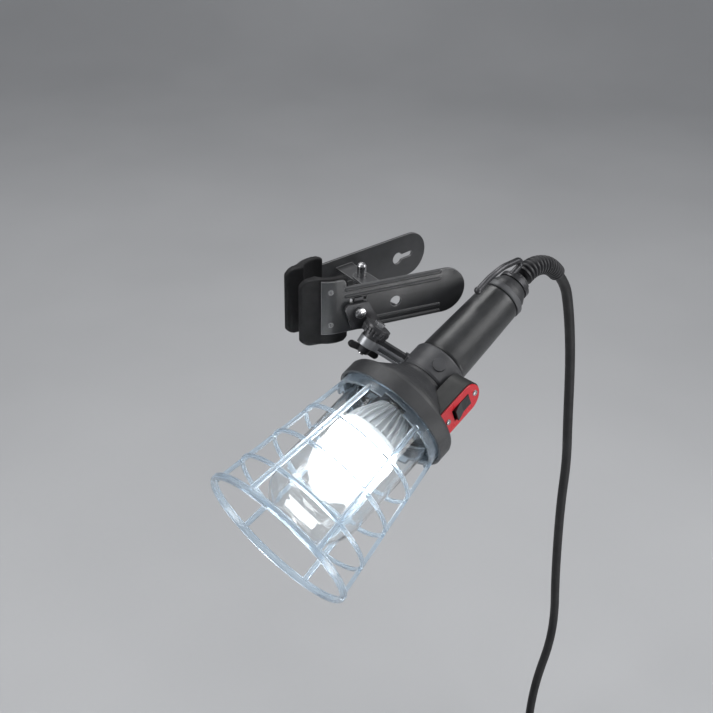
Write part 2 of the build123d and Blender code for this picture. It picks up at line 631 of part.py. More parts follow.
def grip():
    """Rubber grip with a rounded bead at its front edge."""
    r0, r1 = GRIP_R
    return turned((16.0, GRIP_START), (r0 - 0.8, GRIP_START), (r0, GRIP_START + 1.0), (r1, GRIP_END - 1),
                  (r1 - 0.6, GRIP_END), (16.0, GRIP_END))


def end_ring():
    return turned((16.0, GRIP_END), (19.4, GRIP_END), (19.9, GRIP_END + 1), (19.9, 152.0), (19.0, 153.0), (16.0, 153.0))


HOOK_S = (165.3, 169.7)
HOOK_TIP = (31.6, 0, 127.0)


def end_cap():
    """Rear cap with the neck that the hanging hook turns on."""
    cap = turned((0, 153.0), (17.6, 153.0), (17.0, 158.0), (13.5, 165.0), (10.5, 165.0), (10.5, 170.0), (0, 170.0))
    plug = disc(12.4, 150.0, 153.0)
    return (cap + plug) - disc(CORD_D / 2, 148, 172)


def gland_nut():
    body = turned((CORD_D / 2, 170.0), (11.6, 170.0), (11.6, 173.4), (9.4, GLAND_END), (CORD_D / 2, GLAND_END))
    for notch in around(10, Pos(12.2, 0, 172) * Cylinder(1.2, 8)):
        body -= notch
    return body


def hanging_hook():
    """Open hook on a collar that turns behind the end cap."""
    collar_ring = turned((10.5 + SHAFT_GAP, HOOK_S[0]), (14.5, HOOK_S[0]), (14.5, HOOK_S[1]), (10.5 + SHAFT_GAP, HOOK_S[1]))
    rod = 2.7
    points = [(12.6, 0, 167.5), (12.8, 0, 182.6), (19.8, 0, 179.6), (28.9, 0, 160.0), (32.0, 0, 143.0), HOOK_TIP]
    path = FilletPolyline(*points, radius=[3.4, 6.0, 40.0, 40.0])
    section = Plane(origin=path @ 0, z_dir=path % 0) * Circle(rod)
    hook = sweep(section, path=path) + Pos(*HOOK_TIP) * Sphere(3.3)
    clear = disc(10.5 + SHAFT_GAP, 160, 175)
    hook = (collar_ring + hook) - clear
    return hook - disc(12.5, 169.75, 179) - disc(13.6, 160, 165.2)


def supply_wires():
    """Two insulated wires from the cord to the switch and lampholder."""
    return [Pos(x, y, 0) * disc(1.3, 34.0, 149.5) for x, y in ((4, 2), (-4, 2))]


def terminal_block():
    block = box_between((-7, -8, 100), (7, -2, 122))
    for x in (-3.5, 3.5):
        block -= Pos(x, -8, 111) * Rot(90, 0, 0) * Cylinder(1.8, 5)
    return block


def make_handle():
    save("core_tube", LAMP * core_tube())
    save("grip", LAMP * grip())
    save("end_ring", LAMP * end_ring())
    save("end_cap", LAMP * end_cap())
    save("gland_nut", LAMP * gland_nut())
    save("hanging_hook", LAMP * hanging_hook())
    save("supply_wires", LAMP * Compound(supply_wires()))
    save("terminal_block", LAMP * terminal_block())


# ---------------------------------------------------------------- cord
# Route of the cord's centre line, from the gland over the strain relief's bend and down to
# the surface below, where it runs on into the coil.
gland_exit = LAMP.from_local_coords(Vector(0, 0, GLAND_END))
BOOT_ROUTE = [gland_exit, Vector(179.0, -48.9, 4.8), Vector(197.0, -44.8, 2.6), Vector(212.5, -41.3, -5.7)]
BOOT_END = Vector(221.5, -39.25, -15.0)
CORD_ROUTE = [BOOT_END, Vector(236.1, -35.9, -30.1), Vector(246.1, -33.7, -56.3), Vector(257.5, -31.1, -101.0),
              Vector(265.2, -29.3, -147.0), Vector(272.5, -27.6, -205.0), Vector(281.5, -24.6, -256.0),
              Vector(281.5, -24.4, -310.0), Vector(286.0, -23.2, -370.0), Vector(293.0, -21.3, -432.0),
              Vector(301.5, -19.4, -488.0), Vector(299.5, -19.7, -534.0), Vector(284.0, -23.0, -574.0),
              Vector(276.5, -25.5, -612.0), Vector(271.0, -31.0, -652.0), Vector(252.0, -60.4, -685.1),
              Vector(225.0, -102.0, -685.1)]


def corner_radii(points):
    """Arc radius at each corner: as large as its two runs allow."""
    radii = []
    for before, here, after in zip(points, points[1:], points[2:]):
        run_in, run_out = here - before, after - here
        half_turn = math.radians(run_in.get_angle(run_out)) / 2
        radii.append(0.45 * min(run_in.length, run_out.length) / math.tan(half_turn))
    return radii


def tube_path(points):
    return FilletPolyline(*points, radius=corner_radii(points))


def tube(points, radius):
    path = tube_path(points)
    section = Plane(origin=path @ 0, z_dir=path % 0) * Circle(radius)
    solid = sweep(section, path=path)
    expected = math.pi * radius ** 2 * path.length
    print(f"  tube r {radius}: length {path.length:.1f}, volume ratio {solid.volume / expected:.4f}")
    return solid, path.length


def strain_relief():
    """Ribbed boot that follows the cord's first bend and tapers."""
    route = BOOT_ROUTE + [BOOT_END]
    path = tube_path(route)
    core = sweep(Plane(origin=path @ 0, z_dir=path % 0) * Circle(6.6), path=path)
    ribs = 14
    boot = core
    for i in range(ribs):
        share = i / (ribs - 1)
        at = 0.02 + 0.96 * share
        radius = 9.6 - 1.8 * share
        frame = Plane(origin=path @ at, z_dir=path % at)
        boot += frame * Cylinder(radius, 2.6)
    keep_front = Plane(origin=gland_exit, z_dir=axis) * disc(14, 0, 90)
    return boot & keep_front


toward = Vector(-0.545, -0.839, 0).normalized()      # run of the cord into the coil
sideways = Vector(-0.839, 0.545, 0).normalized()     # from that run to the coil's centre
COIL_OUTER_R = COIL_INNER_R + (COIL_TURNS_ACROSS - 1) * COIL_PITCH
COIL_CENTRE = CORD_ROUTE[-1] + sideways * COIL_OUTER_R
COIL_BOTTOM = FLOOR_Z + TIE_THICK + 0.1
COIL_HEIGHT = CORD_D + (COIL_LAYERS - 1) * COIL_PITCH
PLUG_AXIS_Z = FLOOR_Z + 9.0
tail_start = COIL_CENTRE + toward * COIL_OUTER_R
TAIL_ROUTE = [Vector(tail_start.X, tail_start.Y, -654.3), Vector(97.2, -105.6, -660.3), Vector(73.2, -84.6, -671.0),
              Vector(52.2, -60.6, -680.0), Vector(38.2, -34.6, PLUG_AXIS_Z)]


def coil():
    """Closed outer shape of the tied coil, a little shy of its outermost turns."""
    shy = 0.4
    inner = COIL_INNER_R - CORD_D / 2 + shy
    outer = COIL_OUTER_R + CORD_D / 2 - shy
    body = ring(outer, inner, COIL_HEIGHT - 2 * shy)
    body = fillet(body.edges(), 4.0)
    return Pos(COIL_CENTRE.X, COIL_CENTRE.Y, COIL_BOTTOM + shy) * body


def coil_tie():
    """Strap round one side of the coil."""
    inner = COIL_INNER_R - CORD_D / 2 - 0.6
    outer = COIL_OUTER_R + CORD_D / 2 + 0.1
    loop = box_between((inner - TIE_THICK, -5, -TIE_THICK - 0.1),
                       (outer + TIE_THICK, 5, COIL_HEIGHT + TIE_THICK + 0.1))
    loop -= box_between((inner, -6, -0.1), (outer, 6, COIL_HEIGHT + 0.1))
    return Pos(COIL_CENTRE.X, COIL_CENTRE.Y, COIL_BOTTOM) * Rot(0, 0, 120) * loop


def plug():
    """Moulded two-blade plug lying flat beside the coil."""
    end = TAIL_ROUTE[-1]
    heading = (end - TAIL_ROUTE[-2]).normalized()
    level = Vector(heading.X, heading.Y, 0).normalized()
    frame = Plane(origin=end, x_dir=(0, 0, 1), z_dir=level)
    sleeve = frame * turned((0, 0), (6.0, 0), (7.4, 14), (0, 14))
    body = box_between((-9, -12.5, 13), (9, 12.5, 41))
    body = fillet(body.edges().filter_by(Axis.Z), 6)
    body = fillet(body.edges().group_by(Axis.Z)[-1], 1.5)
    blades = [box_between((-3.15, y - 0.75, 41), (3.15, y + 0.75, 59)) for y in (-6.35, 6.35)]
    blades = [blade - Pos(0, y, 56) * Rot(90, 0, 0) * Cylinder(1.6, 4) for blade, y in zip(blades, (-6.35, 6.35))]
    return sleeve + frame * body, frame * Compound(blades)


def make_cord():
    save("strain_relief", strain_relief())
    print("cord corner radii:", [round(r) for r in corner_radii(CORD_ROUTE)])
    print("tail corner radii:", [round(r) for r in corner_radii(TAIL_ROUTE)])
    lead, lead_length = tube(CORD_ROUTE, CORD_D / 2)
    save("cord", lead)
    tail, tail_length = tube(TAIL_ROUTE, CORD_D / 2)
    save("cord_tail", tail)
    boot_length = tube_path(BOOT_ROUTE + [BOOT_END]).length
    coiled = CORD_LENGTH - lead_length - tail_length
    print(f"in the boot {boot_length:.0f}, left for the coil {coiled:.0f}")
    save("cord_coil", coil() - lead - tail)
    save("coil_tie", coil_tie())
    body, blades = plug()
    save("plug", body)
    save("plug_blades", blades)


make_clamp()
make_arm()
make_head()
make_handle()
make_cord()
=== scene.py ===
"""Looks of the caged work light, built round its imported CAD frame. Metres, row frame."""
import json
import math

import bmesh
import bpy
from mathutils import Matrix, Vector


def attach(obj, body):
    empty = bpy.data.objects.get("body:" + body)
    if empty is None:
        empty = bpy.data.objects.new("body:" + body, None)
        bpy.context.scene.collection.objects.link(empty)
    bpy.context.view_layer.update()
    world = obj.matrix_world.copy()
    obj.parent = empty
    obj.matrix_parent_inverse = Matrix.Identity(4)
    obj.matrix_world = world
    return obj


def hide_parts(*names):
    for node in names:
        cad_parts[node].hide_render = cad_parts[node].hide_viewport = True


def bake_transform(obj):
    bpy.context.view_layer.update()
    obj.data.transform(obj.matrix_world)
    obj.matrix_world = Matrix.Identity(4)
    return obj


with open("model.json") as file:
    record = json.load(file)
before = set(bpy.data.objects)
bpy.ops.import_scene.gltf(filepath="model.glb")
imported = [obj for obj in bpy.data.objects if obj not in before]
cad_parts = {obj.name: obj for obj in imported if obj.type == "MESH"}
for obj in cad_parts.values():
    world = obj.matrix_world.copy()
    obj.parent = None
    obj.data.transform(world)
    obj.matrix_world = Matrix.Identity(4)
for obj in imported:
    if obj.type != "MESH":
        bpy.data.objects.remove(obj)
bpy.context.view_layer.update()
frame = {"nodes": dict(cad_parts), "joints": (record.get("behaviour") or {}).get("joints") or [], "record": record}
nodes = frame["nodes"]
joints = {j["name"]: j for j in frame["joints"]}
MM = 0.001
FLOOR_Z = -0.690
WELD_DISTANCE = 2e-6
PAD_VOXEL = 0.0008


# ------------------------------------------------------------------ camera
def aim_camera():
    """Camera at the photograph's viewing angle, with its slight roll."""
    place = Vector((-0.4376, -0.7238, 0.4530))
    ahead = Vector((0.467, 0.719, -0.515)).normalized()
    level = ahead.cross(Vector((0, 0, 1))).normalized()
    above = level.cross(ahead)
    roll = math.radians(1.153)
    right = level * math.cos(roll) + above * math.sin(roll)
    up = above * math.cos(roll) - level * math.sin(roll)
    data = bpy.data.cameras.new("camera")
    data.lens = 58.06
    data.sensor_width = 36.0
    data.clip_start = 0.01
    data.clip_end = 20
    camera = bpy.data.objects.new("camera", data)
    camera.matrix_world = Matrix((
        (right.x, up.x, -ahead.x, place.x),
        (right.y, up.y, -ahead.y, place.y),
        (right.z, up.z, -ahead.z, place.z),
        (0, 0, 0, 1)))
    bpy.context.scene.collection.objects.link(camera)
    bpy.context.scene.camera = camera


aim_camera()

# ------------------------------------------------------------------ frames of the lamp
LAMP_ORIGIN = Vector(joints["lamp_roll"]["pos_m"])
LAMP_AXIS = Vector(joints["lamp_roll"]["axis"]).normalized()
LAMP_TOP = (Vector((0, 0, 1)) - LAMP_AXIS * LAMP_AXIS.z).normalized()
LAMP_SIDE = LAMP_AXIS.cross(LAMP_TOP)
LAMP = Matrix((
    (LAMP_TOP.x, LAMP_SIDE.x, LAMP_AXIS.x, LAMP_ORIGIN.x),
    (LAMP_TOP.y, LAMP_SIDE.y, LAMP_AXIS.y, LAMP_ORIGIN.y),
    (LAMP_TOP.z, LAMP_SIDE.z, LAMP_AXIS.z, LAMP_ORIGIN.z),
    (0, 0, 0, 1)))


# ------------------------------------------------------------------ mesh helpers
def add_mesh(name, bm, look, body, place=None, sharp=35.0):
    """Turns a bmesh into a piece that rides on a body, or is left on none when no body is given."""
    bmesh.ops.recalc_face_normals(bm, faces=bm.faces)
    mesh = bpy.data.meshes.new(name)
    bm.to_mesh(mesh)
    bm.free()
    for polygon in mesh.polygons:
        polygon.use_smooth = True
    mesh.set_sharp_from_angle(angle=math.radians(sharp))
    if place is not None:
        mesh.transform(place)
    piece = bpy.data.objects.new(name, mesh)
    bpy.context.scene.collection.objects.link(piece)
    mesh.materials.append(look)
    if body:
        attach(piece, body)
    return piece


def rounded(points, radius, steps=4):
    """Outline of (r, s) points with its corners rounded; radius may be one number or one per point."""
    radii = [radius] * len(points) if isinstance(radius, (int, float)) else radius
    result = []
    last = len(points) - 1
    for i, (point, r) in enumerate(zip(points, radii)):
        if r <= 0 or i in (0, last):
            result.append(point)
            continue
        here = Vector(point)
        before = Vector(points[i - 1]) - here
        after = Vector(points[i + 1]) - here
        half = before.angle(after) / 2
        cut = min(r / math.tan(half), 0.45 * before.length, 0.45 * after.length)
        start = here + before.normalized() * cut
        end = here + after.normalized() * cut
        for k in range(steps + 1):
            t = k / steps
            curve = start * (1 - t) ** 2 + here * 2 * t * (1 - t) + end * t ** 2
            result.append((curve.x, curve.y))
    return result


def lathe(bm, outline, segments=96, closed=True):
    """Revolves (r, s) points in millimetres about local z."""
    rings = []
    for r, s in outline:
        if r < 1e-6:
            rings.append([bm.verts.new((0, 0, s * MM))])
            continue
        ring = []
        for k in range(segments):
            a = 2 * math.pi * k / segments
            ring.append(bm.verts.new((r * MM * math.cos(a), r * MM * math.sin(a), s * MM)))
        rings.append(ring)
    pairs = list(zip(rings, rings[1:]))
    if closed:
        pairs.append((rings[-1], rings[0]))
    for a, b in pairs:
        for k in range(segments):
            quad = [a[k % len(a)], a[(k + 1) % len(a)], b[(k + 1) % len(b)], b[k % len(b)]]
            unique = [v for n, v in enumerate(quad) if v not in quad[:n]]
            if len(unique) > 2:
                bm.faces.new(unique)


def welded(node):
    """Copy of a CAD node's mesh with its doubled corner points joined."""
    bm = bmesh.new()
    bm.from_mesh(nodes[node].data)
    bmesh.ops.remove_doubles(bm, verts=bm.verts, dist=WELD_DISTANCE)
    return bm


def soften_edges(piece, width, segments, angle):
    """Rounds the sharp edges of a piece."""
    soften = piece.modifiers.new("soften", "BEVEL")
    soften.width = width
    soften.segments = segments
    soften.limit_method = "ANGLE"
    soften.angle_limit = math.radians(angle)


# ------------------------------------------------------------------ materials
def material(name):
    made = bpy.data.materials.new(name)
    made.use_nodes = True
    tree = made.node_tree
    return made, tree.nodes, tree.links, tree.nodes["Principled BSDF"]


def texture(nodes_, links, scale, detail=4.0, roughness=0.55, stretch=(1, 1, 1)):
    """Noise in object space, in features per metre."""
    where = nodes_.new("ShaderNodeTexCoord")
    mapping = nodes_.new("ShaderNodeMapping")
    mapping.inputs["Scale"].default_value = stretch
    links.new(where.outputs["Object"], mapping.inputs["Vector"])
    noise = nodes_.new("ShaderNodeTexNoise")
    noise.inputs["Scale"].default_value = scale
    noise.inputs["Detail"].default_value = detail
    noise.inputs["Roughness"].default_value = roughness
    links.new(mapping.outputs["Vector"], noise.inputs["Vector"])
    return noise


def ramp(nodes_, links, source, low, high, start=0.35, end=0.65):
    """Colour or value ramp between two ends, driven by a noise."""
    made = nodes_.new("ShaderNodeValToRGB")
    for element, value, at in zip(made.color_ramp.elements, (low, high), (start, end)):
        element.position = at
        element.color = (*value, 1) if isinstance(value, tuple) else (value, value, value, 1)
    links.new(source, made.inputs["Fac"])
    return made


def worn_and_highlit_edges(nodes_, links, colour, edge_wear_and_highlight):
    """Colour that turns lighter where the surface bends sharply: partly rubbed paint on the edges, partly a
    painted highlight along the edges and beads.
    """
    soft = nodes_.new("ShaderNodeBevel")
    soft.samples = 8
    soft.inputs["Radius"].default_value = 0.0012
    shape = nodes_.new("ShaderNodeNewGeometry")
    agree = nodes_.new("ShaderNodeVectorMath")
    agree.operation = "DOT_PRODUCT"
    links.new(soft.outputs["Normal"], agree.inputs[0])
    links.new(shape.outputs["Normal"], agree.inputs[1])
    # edge mask: where the painted highlight and the rubbed paint go
    share = nodes_.new("ShaderNodeMapRange")
    share.inputs["From Min"].default_value = 0.985
    share.inputs["From Max"].default_value = 0.86
    links.new(agree.outputs["Value"], share.inputs["Value"])
    mix = nodes_.new("ShaderNodeMix")
    mix.data_type = "RGBA"
    mix.inputs["B"].default_value = (edge_wear_and_highlight, edge_wear_and_highlight, edge_wear_and_highlight * 1.02, 1)
    links.new(share.outputs["Result"], mix.inputs["Factor"])
    links.new(colour.outputs["Color"], mix.inputs["A"])
    return mix.outputs["Result"]


def surface(name, low, high, rough, bump_scale, bump, blotch=60.0, metallic=0.0, edge=0.0, stretch=(1, 1, 1),
            specular=0.5, edge_wear_and_highlight=0.0):
    """Opaque surface: blotchy colour, uneven gloss and a fine bump; edge rounds sharp corners in shading,
    and the last argument sets how light the sharp edges are painted, as rubbed paint and a painted highlight."""
    made, n, l, shader = material(name)
    shader.inputs["Metallic"].default_value = metallic
    shader.inputs["Specular IOR Level"].default_value = specular
    blotches = texture(n, l, blotch, 5.0, 0.6)
    colour = ramp(n, l, blotches.outputs["Fac"], low, high)
    # painted highlight along sharp edges and beads, mixed with rubbed paint
    if edge_wear_and_highlight:
        l.new(worn_and_highlit_edges(n, l, colour, edge_wear_and_highlight), shader.inputs["Base Color"])
    else:
        l.new(colour.outputs["Color"], shader.inputs["Base Color"])
    gloss = texture(n, l, blotch * 2.3, 6.0, 0.65)
    l.new(ramp(n, l, gloss.outputs["Fac"], rough[0], rough[1]).outputs["Color"], shader.inputs["Roughness"])
    grain = texture(n, l, bump_scale, 3.0, 0.6, stretch)
    relief = n.new("ShaderNodeBump")
    relief.inputs["Strength"].default_value = bump
    relief.inputs["Distance"].default_value = 0.0004
    l.new(grain.outputs["Fac"], relief.inputs["Height"])
    if edge:
        soft = n.new("ShaderNodeBevel")
        soft.samples = 6
        soft.inputs["Radius"].default_value = edge
        l.new(soft.outputs["Normal"], relief.inputs["Normal"])
    l.new(relief.outputs["Normal"], shader.inputs["Normal"])
    return made


def clear(name, colour, rough, ior, shadow_tint, transmission=1.0):
    """Clear plastic whose shadows are only tinted, so that lamplight passes straight through it."""
    made, n, l, shader = material(name)
    shader.inputs["Base Color"].default_value = (*colour, 1)
    shader.inputs["Roughness"].default_value = rough
    shader.inputs["IOR"].default_value = ior
    shader.inputs["Transmission Weight"].default_value = transmission
    grain = texture(n, l, 90.0, 2.0, 0.5)
    relief = n.new("ShaderNodeBump")
    relief.inputs["Strength"].default_value = 0.12
    relief.inputs["Distance"].default_value = 0.0005
    l.new(grain.outputs["Fac"], relief.inputs["Height"])
    l.new(relief.outputs["Normal"], shader.inputs["Normal"])
    light_path = n.new("ShaderNodeLightPath")
    through = n.new("ShaderNodeBsdfTransparent")
    through.inputs["Color"].default_value = (*shadow_tint, 1)
    mix = n.new("ShaderNodeMixShader")
    out = n["Material Output"]
    l.new(light_path.outputs["Is Shadow Ray"], mix.inputs["Fac"])
    l.new(shader.outputs["BSDF"], mix.inputs[1])
    l.new(through.outputs["BSDF"], mix.inputs[2])
    l.new(mix.outputs["Shader"], out.inputs["Surface"])
    return made


def lit(name, colour, strength):
    """Opal plastic that glows."""
    made, n, l, shader = material(name)
    shader.inputs["Roughness"].default_value = 0.4
    shader.inputs["Emission Color"].default_value = (*colour, 1)
    shader.inputs["Emission Strength"].default_value = strength
    clouds = texture(n, l, 30.0, 2.0, 0.5)
    l.new(ramp(n, l, clouds.outputs["Fac"], (0.88, 0.89, 0.9), (0.95, 0.95, 0.95)).outputs["Color"],
          shader.inputs["Base Color"])
    return made


LOOKS = {
    # black steel gets a painted highlight and rubbed paint on its sharp edges and beads
    "steel_black": surface("steel_black", (0.030, 0.031, 0.033), (0.043, 0.044, 0.047), (0.30, 0.42), 900,
                           0.25, edge=0.0006, edge_wear_and_highlight=0.24),
    "bright_steel": surface("bright_steel", (0.42, 0.42, 0.43), (0.62, 0.62, 0.63), (0.22, 0.38), 1500,
                            0.2, metallic=1.0, edge=0.0003),
    "dark_steel": surface("dark_steel", (0.05, 0.05, 0.054), (0.09, 0.09, 0.095), (0.3, 0.45), 1200, 0.25,
                          metallic=0.7, edge=0.0004),
    "grey_metal": surface("grey_metal", (0.30, 0.31, 0.33), (0.42, 0.43, 0.45), (0.28, 0.4), 1200, 0.25,
                          metallic=0.6, edge=0.0004),
    "pad_rubber": surface("pad_rubber", (0.006, 0.006, 0.007), (0.011, 0.011, 0.012), (0.55, 0.75), 1600,
                          0.4, edge=0.0009, specular=0.25),
    "strap_weave": surface("strap_weave", (0.010, 0.010, 0.011), (0.022, 0.022, 0.024), (0.6, 0.85), 1400,
                           0.8, stretch=(1, 1, 3), specular=0.2),
    "plug_rubber": surface("plug_rubber", (0.012, 0.012, 0.013), (0.020, 0.020, 0.022), (0.4, 0.55), 1900,
                           0.3, edge=0.0006),
    "bracket_steel": surface("bracket_steel", (0.045, 0.045, 0.048), (0.085, 0.085, 0.09), (0.26, 0.42),
                             700, 0.12, metallic=0.45, edge=0.0007),
    "sleeve_plastic": surface("sleeve_plastic", (0.045, 0.046, 0.050), (0.062, 0.063, 0.068),
                              (0.34, 0.46), 2400, 0.35, edge=0.0006),
    "spring_steel": surface("spring_steel", (0.22, 0.22, 0.23), (0.36, 0.36, 0.37), (0.25, 0.42), 1500,
                            0.2, metallic=0.9),
    "housing_plastic": surface("housing_plastic", (0.012, 0.013, 0.013), (0.020, 0.021, 0.021),
                               (0.42, 0.55), 2600, 0.4, edge=0.0006, specular=0.35),
    "grip_rubber": surface("grip_rubber", (0.024, 0.025, 0.026), (0.036, 0.037, 0.039), (0.28, 0.38),
                           2200, 0.25, edge=0.0006),
    "black_plastic": surface("black_plastic", (0.026, 0.027, 0.029), (0.038, 0.039, 0.042), (0.36, 0.5),
                             2600, 0.45, edge=0.0006),
    "grey_plastic": surface("grey_plastic", (0.075, 0.077, 0.082), (0.10, 0.102, 0.108), (0.38, 0.5),
                            2200, 0.35, edge=0.0006),
    "red_plastic": surface("red_plastic", (0.52, 0.012, 0.022), (0.62, 0.018, 0.030), (0.25, 0.38), 2400,
                           0.25, edge=0.0005),
    "rocker_black": surface("rocker_black", (0.012, 0.012, 0.013), (0.02, 0.02, 0.021), (0.15, 0.3), 1800,
                            0.15, edge=0.0006),
    "guard_clear": clear("guard_clear", (0.72, 0.84, 0.95), 0.17, 1.45, (0.92, 0.96, 0.99), 0.955),
    "globe_clear": clear("globe_clear", (0.97, 0.99, 1.0), 0.02, 1.48, (0.96, 0.98, 0.99)),
    "bulb_white": lit("bulb_white", (1.0, 0.99, 0.97), 12.0),
    "heat_sink": surface("heat_sink", (0.74, 0.75, 0.76), (0.84, 0.85, 0.86), (0.3, 0.42), 1500, 0.2,
                         edge=0.0003),
    "bulb_cap": surface("bulb_cap", (0.55, 0.54, 0.5), (0.7, 0.69, 0.65), (0.2, 0.35), 1500, 0.2,
                        metallic=1.0),
    "boot_rubber": surface("boot_rubber", (0.014, 0.014, 0.016), (0.022, 0.022, 0.025), (0.42, 0.55),
                           1500, 0.25, blotch=50),
    "cord_rubber": surface("cord_rubber", (0.009, 0.009, 0.010), (0.016, 0.016, 0.017), (0.45, 0.62),
                           1300, 0.3, blotch=35, specular=0.4),
    "wire": surface("wire", (0.6, 0.6, 0.56), (0.7, 0.7, 0.66), (0.3, 0.45), 1300, 0.2),
    "plug_brass": surface("plug_brass", (0.55, 0.4, 0.17), (0.72, 0.55, 0.25), (0.22, 0.38), 1500, 0.2,
                          metallic=1.0, edge=0.0003),
}

slot_of = {part["node"]: part["material_slot"] for part in frame["record"]["subparts"]}
for name, node in nodes.items():
    node.data.materials.clear()
    node.data.materials.append(LOOKS[slot_of[name]])
nodes["switch_housing"].material_slots[0].material = LOOKS["housing_plastic"]
nodes["spring_anchor"].material_slots[0].material = LOOKS["dark_steel"]
for name in ("swivel_bracket", "bracket_toothed_disc"):
    nodes[name].material_slots[0].material = LOOKS["bracket_steel"]
nodes["neck_sleeve"].material_slots[0].material = LOOKS["sleeve_plastic"]

# ------------------------------------------------------------------ cord
CORD_D = 0.0098
LAMP_EXIT = LAMP @ Vector((0, 0, 0.179))
BOOT_ROUTE = [(0.1790, -0.0489, 0.0048), (0.1970, -0.0448, 0.0026), (0.2125, -0.0413, -0.0057)]
BOOT_END = (0.2215, -0.03925, -0.0150)
CORD_ROUTE = [BOOT_END, (0.2361, -0.0359, -0.0301), (0.2461, -0.0337, -0.0563),
              (0.2575, -0.0311, -0.1010), (0.2652, -0.0293, -0.1470), (0.2725, -0.0276, -0.2050),
              (0.2815, -0.0246, -0.2560), (0.2815, -0.0244, -0.3100), (0.2860, -0.0232, -0.3700),
              (0.2930, -0.0213, -0.4320), (0.3015, -0.0194, -0.4880), (0.2995, -0.0197, -0.5340),
              (0.2840, -0.0230, -0.5740), (0.2765, -0.0255, -0.6120), (0.2710, -0.0310, -0.6520),
              (0.2520, -0.0604, -0.6842)]
# from the cord's run into its coil towards the coil's centre
SIDEWAYS = Vector((-0.839, 0.545, 0)).normalized()
COIL_OUTER, COIL_STEP = 0.0700, 0.0099
COIL_FIRST_HEIGHT = -0.6840
COIL_TURNS = 11.25
COIL_CENTRE = Vector((0.2250, -0.1020, 0)) + SIDEWAYS * COIL_OUTER
TAIL_ROUTE = [(0.0972, -0.1056, -0.6572), (0.0732, -0.0846, -0.6710), (0.0522, -0.0606, -0.6800),
              (0.0382, -0.0346, -0.6810)]


def coil_turns(per_turn=16):
    """Points of the neat coil: each layer winds in or out, stepping by one cable at its own sector."""
    sector = 0.1286
    # each step: the turn at which it starts, its change of radius, its change of height
    steps = []
    for turn in (0, 1, 2):
        steps.append((turn + 1 - sector, -COIL_STEP, 0))
    steps.append((3 + 1 - 2 * sector, 0, COIL_STEP))
    for turn in (4, 5, 6):
        steps.append((turn + 1 - 3 * sector, COIL_STEP, 0))
    steps.append((7 + 1 - 4 * sector, 0, COIL_STEP))
    for turn in (8, 9):
        steps.append((turn + 1 - 5 * sector, -COIL_STEP, 0))
    steps.append((10 + 1 - 7 * sector, 0, COIL_STEP))
    steps.append((10 + 1 - 5 * sector, COIL_STEP, 0))
    steps.append((11 + 1 - 8 * sector, COIL_STEP, 0))
    start_angle = math.atan2(-SIDEWAYS.y, -SIDEWAYS.x)
    points = []
    for k in range(int(COIL_TURNS * per_turn) + 1):
        turn = k / per_turn
        radius, height = COIL_OUTER, COIL_FIRST_HEIGHT
        for at, out, rise in steps:
            share = min(max((turn - at) / sector, 0), 1)
            share = share * share * (3 - 2 * share)
            radius += out * share
            height += rise * share
        # control points stand a little outside the curve that they make
        radius /= 0.25 * math.cos(2 * math.pi / per_turn) + 0.75
        angle = start_angle - 2 * math.pi * turn
        x = COIL_CENTRE.x + radius * math.cos(angle)
        y = COIL_CENTRE.y + radius * math.sin(angle)
        points.append((x, y, height))
    return points


def smooth_curve(name, points, bevel):
    data = bpy.data.curves.new(name, "CURVE")
    data.dimensions = "3D"
    data.bevel_depth = bevel
    data.bevel_resolution = 6
    data.resolution_u = 6
    data.use_fill_caps = True
    spline = data.splines.new("NURBS")
    spline.points.add(len(points) - 1)
    for point, place in zip(spline.points, points):
        point.co = (*place, 1)
    spline.order_u = 3
    spline.use_endpoint_u = True
    return data


cord_points = CORD_ROUTE + coil_turns() + TAIL_ROUTE
cord = bpy.data.objects.new("supply_cord", smooth_curve("supply_cord", cord_points, CORD_D / 2))
bpy.context.scene.collection.objects.link(cord)
cord.data.materials.append(LOOKS["cord_rubber"])
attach(cord, "lamp")
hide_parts("cord", "cord_coil", "cord_tail")


# ------------------------------------------------------------------ strain relief
def along_spline(points):
    """Points read from a route's NURBS spline, which has no bevel."""
    data = smooth_curve("route", points, 0.0)
    data.resolution_u = 24
    holder = bpy.data.objects.new("route", data)
    mesh = bpy.data.meshes.new_from_object(holder)
    places = [vertex.co.copy() for vertex in mesh.vertices]
    bpy.data.objects.remove(holder)
    bpy.data.meshes.remove(mesh)
    bpy.data.curves.remove(data)
    return places


def resample(places, count):
    """Evenly spaced points on a line of points, each with its distance along and the whole length."""
    lengths = [0.0]
    for a, b in zip(places, places[1:]):
        lengths.append(lengths[-1] + (b - a).length)
    result = []
    at = 0
    for k in range(count + 1):
        want = lengths[-1] * k / count
        while at < len(lengths) - 2 and lengths[at + 1] < want:
            at += 1
        run = places[at + 1] - places[at]
        share = (want - lengths[at]) / max(run.length, 1e-9)
        result.append((places[at] + run * share, want, lengths[-1]))
    return result


